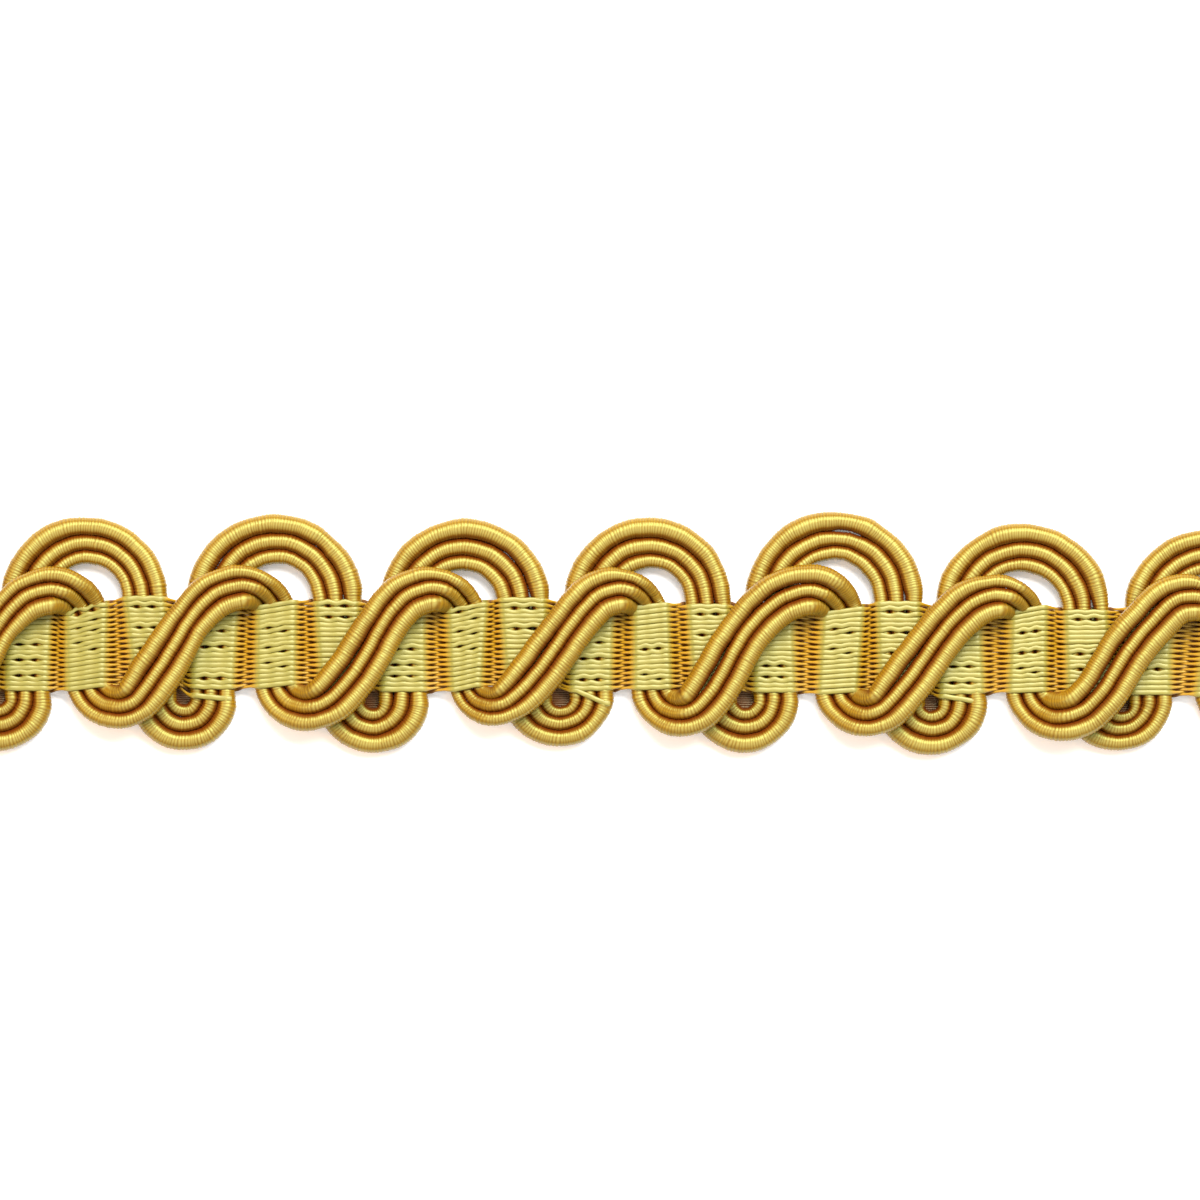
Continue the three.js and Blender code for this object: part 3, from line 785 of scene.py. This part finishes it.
def warp_rayon(settings):
    """Fine rayon warp thread, little twisted, so that its filaments lie flat and shine along the thread."""
    material, tree, surface = new_material("rayon_warp_thread")
    place = add_node(tree, "ShaderNodeTexCoord")
    drawn = add_node(tree, "ShaderNodeMapping", inputs={
        "Vector": place.outputs["Object"], "Scale": (300.0, 9000.0, 9000.0)})
    filaments = add_node(tree, "ShaderNodeTexNoise", inputs={"Vector": drawn, "Scale": 1.0, "Detail": 2.0})
    shade = add_node(tree, "ShaderNodeMapRange", inputs={
        "Value": filaments, "From Min": 0.3, "From Max": 0.7, "To Min": 0.82, "To Max": 1.06})
    crest = add_node(tree, "ShaderNodeAttribute", {"attribute_name": "crest"}).outputs["Fac"]
    # Painted shade: the depth share takes the threads under the cords to the deep colour
    depth = add_node(tree, "ShaderNodeMath", {"operation": "MULTIPLY", "use_clamp": True},
                     {0: crest, 1: -1.0})
    # The threads start in the slope colour, painted warm shade, and take their own colour on the crests
    colour = rgba(settings.slope_shade_colour)
    for share, over, blend in (
        (crest, rgba(settings.colour), "MIX"),
        (depth, rgba(settings.deep_shade_colour), "MIX"),
        (1.0, shade, "MULTIPLY"),
    ):
        mixed = add_node(tree, "ShaderNodeMix", {"data_type": "RGBA", "blend_type": blend},
                         {SHARE: share, UNDER: colour, OVER: over})
        colour = mixed.outputs[MIXED]
    relief = add_node(tree, "ShaderNodeBump", inputs={
        "Strength": 0.35, "Distance": 0.03 * MM, "Height": filaments})
    across = add_node(tree, "ShaderNodeTangent", {"direction_type": "RADIAL", "axis": "X"})
    fill(tree, surface, {
        "Base Color": colour,
        "Normal": relief,
        "Roughness": 0.42,
        "IOR": 1.6,
        "Specular IOR Level": 0.8,
        "Specular Tint": rgba(settings.sheen_colour),
        "Anisotropic": 0.7,
        "Tangent": across,
    })
    return material


def cotton_core(settings):
    """Cut cotton core yarns: a dull, pale, stippled end."""
    material, tree, surface = new_material("cotton_core_yarn")
    place = add_node(tree, "ShaderNodeTexCoord")
    yarns = add_node(tree, "ShaderNodeTexNoise", inputs={
        "Vector": place.outputs["Object"], "Scale": 5000.0, "Detail": 2.0})
    shade = add_node(tree, "ShaderNodeMapRange", inputs={
        "Value": yarns, "From Min": 0.3, "From Max": 0.7, "To Min": 0.6, "To Max": 1.0})
    colour = add_node(tree, "ShaderNodeMix", {"data_type": "RGBA", "blend_type": "MULTIPLY"},
                      {SHARE: 1.0, UNDER: rgba(settings.core_colour), OVER: shade})
    fill(tree, surface, {"Base Color": colour.outputs[MIXED], "Roughness": 0.9})
    return material


def lit_table(colour, glow):
    """Matt white acrylic of a light table, faintly lit from below, so that shadows on it stay pale."""
    material, tree, surface = new_material("matt_white_acrylic")
    fill(tree, surface, {
        "Base Color": rgba(colour),
        "Roughness": 0.7,
        "Emission Color": rgba(colour),
        "Emission Strength": glow,
    })
    return material


# Operators

# The two scrolls: name, the seed of their first cord's strays, and that of its winding, which grows by a
# step from cord to cord
SCROLLS = (("back", 11, 0.0), ("front", 21, 211.0))
WINDING_SEED_STEP = 37.0


class TRIM_OT_cords(bpy.types.Operator):
    """Make the six wound cords"""

    bl_idname = "trim.cords"
    bl_label = "Wound cords"

    def execute(self, context):
        settings = context.scene.gimp_trim.cord
        woven = settings.woven_height / MM
        heights = (woven, settings.over_height / MM, settings.arch_sag / MM)
        tree = wound_cord_tree()
        winding, core = wound_rayon(settings), cotton_core(settings)
        for scroll, stray_seed, winding_seed in SCROLLS:
            routes = [
                strayed(cord_route(scroll, cord, heights), stray_seed + index)
                for index, cord in enumerate(CORDS)
            ]
            halves = half_thicknesses(scroll, routes, woven)
            for index, (cord, route, half) in enumerate(zip(CORDS, routes, halves)):
                route[:, 2] = np.maximum(route[:, 2], half + TABLE_CLEARANCE)
                name = f"wound_{scroll}_cord_{cord.name}"
                mesh = route_mesh(name + "_route", [route], {
                    "half": [half * MM], "tight": [left_tightness(route)]})
                # The outer cord has no neighbour on its left, and the inner one has none on its right, so no
                # painted groove shade goes there
                piece = grown(name, mesh, tree, {
                    "Winding pitch": settings.winding_pitch,
                    "Ridge depth": settings.ridge_depth,
                    "Sides": settings.sides,
                    "Groove left": float(cord.name != "outer"),
                    "Groove right": float(cord.name != "inner"),
                    "Seed": winding_seed + WINDING_SEED_STEP * index,
                    "Material": winding,
                })
                cut_ends(piece, core, settings.rim)
                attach(piece, BODY)
                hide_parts(f"{scroll}_cord_{cord.name}")
        return {"FINISHED"}


def woven_groups():
    """The groups of cords that the band holds, along the trim."""
    top, low = EDGES_AT_START
    groups = [Group("back", -1, 1, (top, top, low, low), ())]
    for repeat, (edges, gaps) in enumerate(zip(BAND_EDGES, THREAD_GAPS)):
        rise_top, rise_low, *front_edges, fall_top, fall_low = edges
        rise_gaps, front_gaps, fall_gaps = gaps
        groups.append(Group("back", repeat - 1, -1, (rise_top, rise_top, rise_low, rise_low), rise_gaps))
        groups.append(Group("front", repeat, 1, front_edges, front_gaps))
        groups.append(Group("back", repeat, 1, (fall_top, fall_top, fall_low, fall_low), fall_gaps))
    return groups


def legs_of(group):
    """Both ends of the legs of a group's three cords."""
    legs = []
    for cord in CORDS:
        turns = cord_turns(group.scroll, cord)
        places = [(turn.repeat, turn.side) for turn in turns]
        index = places.index((group.repeat, group.side))
        legs.append(leg_between(turns[index], turns[index + 1])[1:])
    return legs


def leg_places(legs, y):
    """Where a group's cords cross a line across the trim at y, from first to last."""
    return sorted(x0 + (x1 - x0) * (y - y0) / (y1 - y0) for (x0, y0), (x1, y1) in legs)


# The warp threads, in millimetres
THREAD_SEED = 41
THREAD_STEP = 0.3  # between the points of a thread
THREAD_STRAY = 0.035  # of a thread from its place across the trim
SPACING_STRAY = (0.93, 1.05)  # of a thread's width, as shares
TURN_POINTS = 5  # of a thread's turn round a cord
STEEPEST = 0.97  # sine of the angle at which a thread leaves a cord
CREST_SINK = 0.04  # of a thread between two cords
CREST_PITCH = 0.56  # between two threads that have the crest width
EDGE_MARGIN = 0.25  # between the band's edge and its first thread
GAP_PUSH = 0.3  # of the threads away from a gap
GAP_REACH = 0.6  # over which that push fades

# The slack threads below each low turn, which fill its small hole with painted shade, in millimetres
SLACK_STEPS = (-0.9, -0.65, -0.4, -0.15, 0.1, 0.35, 0.6, 0.85, 1.1)  # of their lowest points from its centre
SLACK_REACH = 1.5  # their half length, as a share of the turn's radius
SLACK_WIDENING = 0.5  # and how much it grows with each millimetre that they hang down
SLACK_EDGE = -4.2  # where they come out of the band
SLACK_BEND = 3.5  # how sharply they turn back to it
SLACK_STRAYS = (0.3, 0.15, 0.02)  # of their half length, their place along the trim and their height
SLACK_HEIGHT = 0.17
SLACK_WIDTH = 0.3
SLACK_FLATNESS = 0.8  # their thickness, as a share of their width
SLACK_POINTS = 15

# Heights between which a thread changes, from 0 where it crosses the cords' middles to 1 at the face, or to 1
# at the back: it grows flat, takes its own pale colour in place of the painted warm shade of its slopes, and
# on the back is painted brown, as painted shade under the cords, and then loses that again
FLAT_FACE, FLAT_BACK = (0.35, 0.92), (0.1, 0.45)
PALE_FACE, PALE_BACK = (0.5, 1.0), (0.65, 0.95)
SHADE_ON, SHADE_OFF = (0.0, 0.3), (0.5, 0.75)


def crest_places(group, own_set, count):
    """Places across the trim of a set's threads at the left and right of a group, each as they are spaced
    and as the group's gaps push them."""
    top_left, top_right, low_left, low_right = group.edges
    columns = []
    for top, low in ((top_left, low_left), (top_right, low_right)):
        pitch = (top - low - 2 * EDGE_MARGIN) / (count - 1)
        places = top - EDGE_MARGIN - pitch * (np.arange(count) + 0.5 * own_set)
        moved = places.copy()
        for gap in group.gaps:
            between = (places[1:] + places[:-1]) / 2
            middle = between[np.abs(between - gap).argmin()]
            away = places - middle
            moved += GAP_PUSH * np.sign(away) * np.exp(-np.abs(away) / GAP_REACH)
        columns.append((places, moved))
    return columns


def thread_pegs(own_set, index, groups, all_legs, sizes, chance):
    """Where one warp thread passes each group of cords. It goes over each second group and under the
    others, and the lowest thread hangs loose at some."""
    pegs = []
    for number, (group, legs) in enumerate(zip(groups, all_legs)):
        side = 1 if (number + 1) % 2 == own_set else -1
        (left, left_moved), (right, right_moved) = crest_places(group, own_set, sizes.count)
        y_left, y_right = left[index], right[index]
        pushes = left_moved[index] - y_left, right_moved[index] - y_right
        lowest = own_set == 1 and index == sizes.count - 1
        rising = group.scroll == "back" and group.side < 0
        loose = LOOSE_THREADS.get(group.repeat + 1) if side > 0 and lowest and rising else None
        if loose:
            y_left += loose[0]
            y_right += loose[1]
        first, _, last = leg_places(legs, (y_left + y_right) / 2)
        y_left += chance.uniform(-THREAD_STRAY, THREAD_STRAY)
        y_right += chance.uniform(-THREAD_STRAY, THREAD_STRAY)
        spacing = abs(left[1] - left[0] + right[1] - right[0]) / 2 * chance.uniform(*SPACING_STRAY)
        width = sizes.crest_width / CREST_PITCH * spacing
        pegs.append(Peg(first, last, side, y_left, y_right, pushes, width, loose))
    return pegs


def turn_angle(start, end, reach):
    """How far a thread goes round the cord at the end of one group before it slopes to the next one."""
    return math.asin(min(2 * reach / (end.first - start.last), STEEPEST))


def turn_rows(centre, y, angles, peg, sizes):
    """Rows of x, y, height and width where a thread goes round a cord, at some angles from upright."""
    return [
        (centre + sizes.reach * math.sin(angle), y,
         sizes.woven + peg.side * sizes.reach * math.cos(angle), peg.width)
        for angle in angles
    ]


def peg_rows(peg, into, out_of, sizes):
    """Rows where a thread passes a group: round its first cord, past all three, and round its last one."""
    shares = np.linspace(0.0, 1.0, TURN_POINTS)
    rows = turn_rows(peg.first, peg.left, -into * (1 - shares), peg, sizes)
    steps = max(2, math.ceil((peg.last - peg.first) / THREAD_STEP))
    left_push, right_push = peg.pushes if peg.side > 0 else (0.0, 0.0)
    for share in np.linspace(0.0, 1.0, steps + 1)[1:-1]:
        between = math.sin(2 * math.pi * share) ** 2
        push = (left_push + (right_push - left_push) * share) * between
        x = peg.first + (peg.last - peg.first) * share
        y = peg.left + (peg.right - peg.left) * share + push
        z = sizes.woven + peg.side * sizes.reach - CREST_SINK * peg.side * between
        rows.append((x, y, z, peg.width))
    return rows + turn_rows(peg.last, peg.right, out_of * shares, peg, sizes)


def slope_rows(start, end):
    """Rows between the end of one turn and the start of the next."""
    steps = max(2, math.ceil(abs(end[0] - start[0]) / THREAD_STEP))
    rows = []
    for share in np.linspace(0.0, 1.0, steps + 1)[1:-1]:
        turn = share * share * (3 - 2 * share)
        rows.append((
            start[0] + (end[0] - start[0]) * share,
            start[1] + (end[1] - start[1]) * turn,
            start[2] + (end[2] - start[2]) * share,
            start[3] + (end[3] - start[3]) * share,
        ))
    return rows


def thread_stretches(pegs, sizes):
    """The stretches of one warp thread. It breaks off after a group where it hangs loose."""
    stretches = [[]]
    for number, peg in enumerate(pegs):
        into = turn_angle(pegs[number - 1], peg, sizes.reach) if number > 0 else math.pi / 2
        out_of = turn_angle(peg, pegs[number + 1], sizes.reach) if number + 1 < len(pegs) else math.pi / 2
        rows = peg_rows(peg, into, out_of, sizes)
        if number > 0 and pegs[number - 1].loose:
            stretches.append([])
        elif number > 0:
            stretches[-1] += slope_rows(stretches[-1][-1], rows[0])
        stretches[-1] += rows
    return [shaped_stretch(stretch, sizes) for stretch in stretches]


def shaped_stretch(rows, sizes):
    """Points, widths, heights and crest shares of a stretch of thread, round and narrow at its waists and
    flat on its crests. The crest share is 1 where it has its own pale colour, 0 on its slopes, which are
    painted in warm shade, and -1 where it is painted brown as shade."""
    points = np.array([row[:3] for row in rows])
    widths = np.array([row[3] for row in rows])
    rise = (points[:, 2] - sizes.woven) / sizes.reach
    flat = np.maximum(smooth(rise, *FLAT_FACE), smooth(-rise, *FLAT_BACK))
    width = sizes.waist_width + (widths - sizes.waist_width) * flat
    height = sizes.waist_width + (sizes.thickness - sizes.waist_width) * flat
    # Painted shade: just under the cords' middles the thread is painted brown
    brown = smooth(-rise, *SHADE_ON) * (1.0 - smooth(-rise, *SHADE_OFF))
    return points, width, height, smooth(rise, *PALE_FACE) + smooth(-rise, *PALE_BACK) - brown


def slack_threads(chance):
    """Slack stretches on the back of the band that hang out below its lower edge and back in, one inside the
    other, and so cross below the small hole in each low turn of the back cords. Partly stray threads of the
    band and partly a dark filler of the hole, they are painted wholly in the deep colour, as painted shade."""
    reach_stray, place_stray, height_stray = SLACK_STRAYS
    stretches = []
    share = np.linspace(-1.0, 1.0, SLACK_POINTS)
    size = np.full(SLACK_POINTS, SLACK_WIDTH)
    for repeat, (_, _, _, slip, y, r) in enumerate(BACK_LOWS.rows, BACK_LOWS.first):
        middle = BACK_LOWS.start + REPEAT * repeat + slip
        for step in SLACK_STEPS:
            low = y + step
            reach = SLACK_REACH * r + SLACK_WIDENING * (SLACK_EDGE - low)
            reach += chance.uniform(-reach_stray, reach_stray)
            centre = middle + chance.uniform(-place_stray, place_stray)
            height = SLACK_HEIGHT + chance.uniform(-height_stray, height_stray)
            points = np.column_stack((
                centre + reach * share,
                low + (SLACK_EDGE - low) * np.abs(share) ** SLACK_BEND,
                np.full(SLACK_POINTS, height),
            ))
            # Painted shade: the slack threads take the deep colour all along
            stretches.append((points, size, SLACK_FLATNESS * size, -np.ones(SLACK_POINTS)))
    return stretches


class TRIM_OT_warp(bpy.types.Operator):
    """Make the two sets of warp threads that hold the cords"""

    bl_idname = "trim.warp"
    bl_label = "Warp threads"

    def execute(self, context):
        cord, warp = context.scene.gimp_trim.cord, context.scene.gimp_trim.warp
        tree = warp_thread_tree()
        thread = warp_rayon(warp)
        groups = woven_groups()
        all_legs = [legs_of(group) for group in groups]
        sizes = ThreadSizes(
            woven=cord.woven_height / MM,
            reach=(cord.thickness + warp.thickness) / MM / 2,
            count=warp.count,
            crest_width=warp.crest_width / MM,
            waist_width=warp.waist_width / MM,
            thickness=warp.thickness / MM,
        )
        for own_set, set_name in enumerate(("even", "odd")):
            chance = np.random.default_rng(THREAD_SEED + own_set)
            stretches = slack_threads(chance) if own_set == 1 else []
            for index in range(warp.count):
                pegs = thread_pegs(own_set, index, groups, all_legs, sizes, chance)
                stretches += thread_stretches(pegs, sizes)
            kept = []
            for stretch in stretches:
                inside = np.abs(stretch[0][:, 0]) < CUT_AT / MM
                if inside.sum() > 1:
                    kept.append([values[inside] for values in stretch])
            routes, widths, heights, crests = zip(*kept)
            name = "warp_threads_" + set_name
            mesh = route_mesh(name + "_route", routes, {"width": widths, "height": heights, "crest": crests})
            piece = grown(name, mesh, tree, {"Sides": warp.sides, "Material": thread})
            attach(piece, BODY)
            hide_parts("woven_band")
        return {"FINISHED"}


# How far the camera sees, in metres
CAMERA_SIGHT = 10.0

# The softboxes of the stage, with their place and size in metres
LIGHTS = (
    # name, place, width and height, the setting of its power, colour
    ("key_light", (0.22, 0.62, 0.75), (0.8, 0.6), "key_power", "#FFFFFF"),
    ("warm_light", (-0.8, 0.0, 0.6), (0.4, 0.4), "warm_power", "#FFB640"),
)


class TRIM_OT_stage(bpy.types.Operator):
    """Make the floor, the lights, the surround and the camera"""

    bl_idname = "trim.stage"
    bl_label = "Stage"

    def execute(self, context):
        settings = context.scene.gimp_trim.stage
        half = settings.floor_size / 2
        mesh = bpy.data.meshes.new("floor")
        corners = [(-half, -half, 0), (half, -half, 0), (half, half, 0), (-half, half, 0)]
        mesh.from_pydata(corners, [], [(0, 1, 2, 3)])
        floor = bpy.data.objects.new("floor", mesh)
        floor.data.materials.append(lit_table(settings.floor_colour, settings.floor_glow))
        context.scene.collection.objects.link(floor)
        for name, place, size, power, colour in LIGHTS:
            add_light(name, place, size, getattr(settings, power), linear(colour))
        world = bpy.data.worlds.new("white_surround")
        world.use_nodes = True
        fill(world.node_tree, world.node_tree.nodes["Background"], {
            "Color": (1.0, 1.0, 1.0, 1.0), "Strength": settings.sky})
        context.scene.world = world
        context.scene.view_settings.view_transform = "Standard"
        add_camera(context, settings)
        return {"FINISHED"}


def add_light(name, place, size, power, colour):
    """A softbox that faces the middle of the trim. size is its width and height."""
    light = bpy.data.lights.new(name, "AREA")
    light.shape = "RECTANGLE"
    light.size, light.size_y = size
    light.energy = power
    light.color = colour
    lamp = bpy.data.objects.new(name, light)
    lamp.location = place
    lamp.rotation_euler = (-Vector(place)).to_track_quat("-Z", "Y").to_euler()
    bpy.context.scene.collection.objects.link(lamp)


def add_camera(context, settings):
    """A camera straight above and far off, which sees the settings' width at half the trim's thickness."""
    data = bpy.data.cameras.new("camera")
    data.lens = settings.lens
    data.clip_end = CAMERA_SIGHT
    camera = bpy.data.objects.new("camera", data)
    mid_height = CAD_BOX[1].z / 2
    distance = settings.view_width / 2 / (data.sensor_width / 2 / data.lens)
    camera.location = (settings.view_x, settings.view_y, mid_height + distance)
    context.scene.collection.objects.link(camera)
    context.scene.camera = camera


class TRIM_PT_panel(bpy.types.Panel):
    bl_idname = "TRIM_PT_panel"
    bl_label = "Scroll gimp braid trim"
    bl_space_type = "VIEW_3D"
    bl_region_type = "UI"
    bl_category = "Trim"

    def draw(self, context):
        trim = context.scene.gimp_trim
        for title, group, operator in (
            ("Cords", trim.cord, "trim.cords"),
            ("Warp", trim.warp, "trim.warp"),
            ("Stage", trim.stage, "trim.stage"),
        ):
            box = self.layout.box()
            box.label(text=title)
            for name in group.__annotations__:
                box.prop(group, name)
            box.operator(operator)


CLASSES = (
    CordSettings, WarpSettings, StageSettings, TrimSettings,
    TRIM_OT_cords, TRIM_OT_warp, TRIM_OT_stage, TRIM_PT_panel,
)


def register():
    for one in CLASSES:
        bpy.utils.register_class(one)
    bpy.types.Scene.gimp_trim = bpy.props.PointerProperty(type=TrimSettings)


def unregister():
    del bpy.types.Scene.gimp_trim
    for one in reversed(CLASSES):
        bpy.utils.unregister_class(one)


def main():
    register()
    bpy.ops.trim.stage()
    bpy.ops.trim.cords()
    bpy.ops.trim.warp()


if __name__ == "__main__":
    main()
